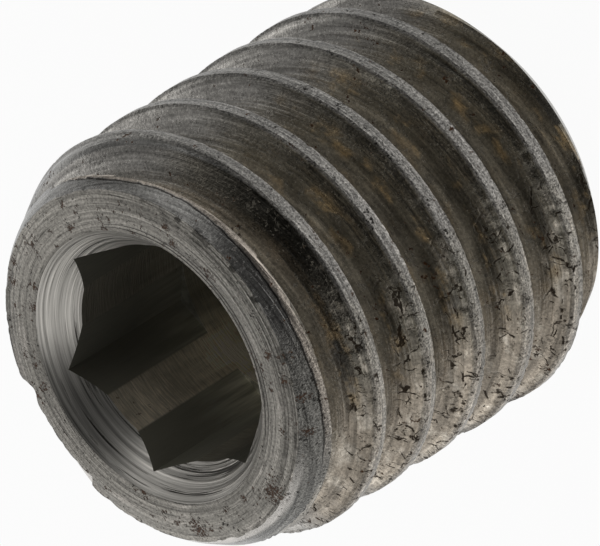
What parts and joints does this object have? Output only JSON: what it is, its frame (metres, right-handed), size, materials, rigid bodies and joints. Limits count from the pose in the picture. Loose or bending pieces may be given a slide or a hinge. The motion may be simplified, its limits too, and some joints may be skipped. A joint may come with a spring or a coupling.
{
  "type": "restrictor screw",
  "caption": "Short headless hexagon-socket set screw in plain steel, chamfered at both ends, with a small axial restricting bore through its web.",
  "frame": {"origin": "middle of the flat rear end face, on the screw's axis; the screw stands on this face", "axes": "+Z along the screw's axis, from the rear end to the socket; +X through a corner of the hexagon socket"},
  "size_m": [0.0059, 0.0058, 0.0062],
  "materials": {
    "bare_steel": "uncoated turned steel, grey, with tool lines, brown-olive stain in the thread grooves and a few rust specks"
  },
  "bodies": {
    "root": {"screw_body": "bare_steel"}
  },
  "joints": []
}
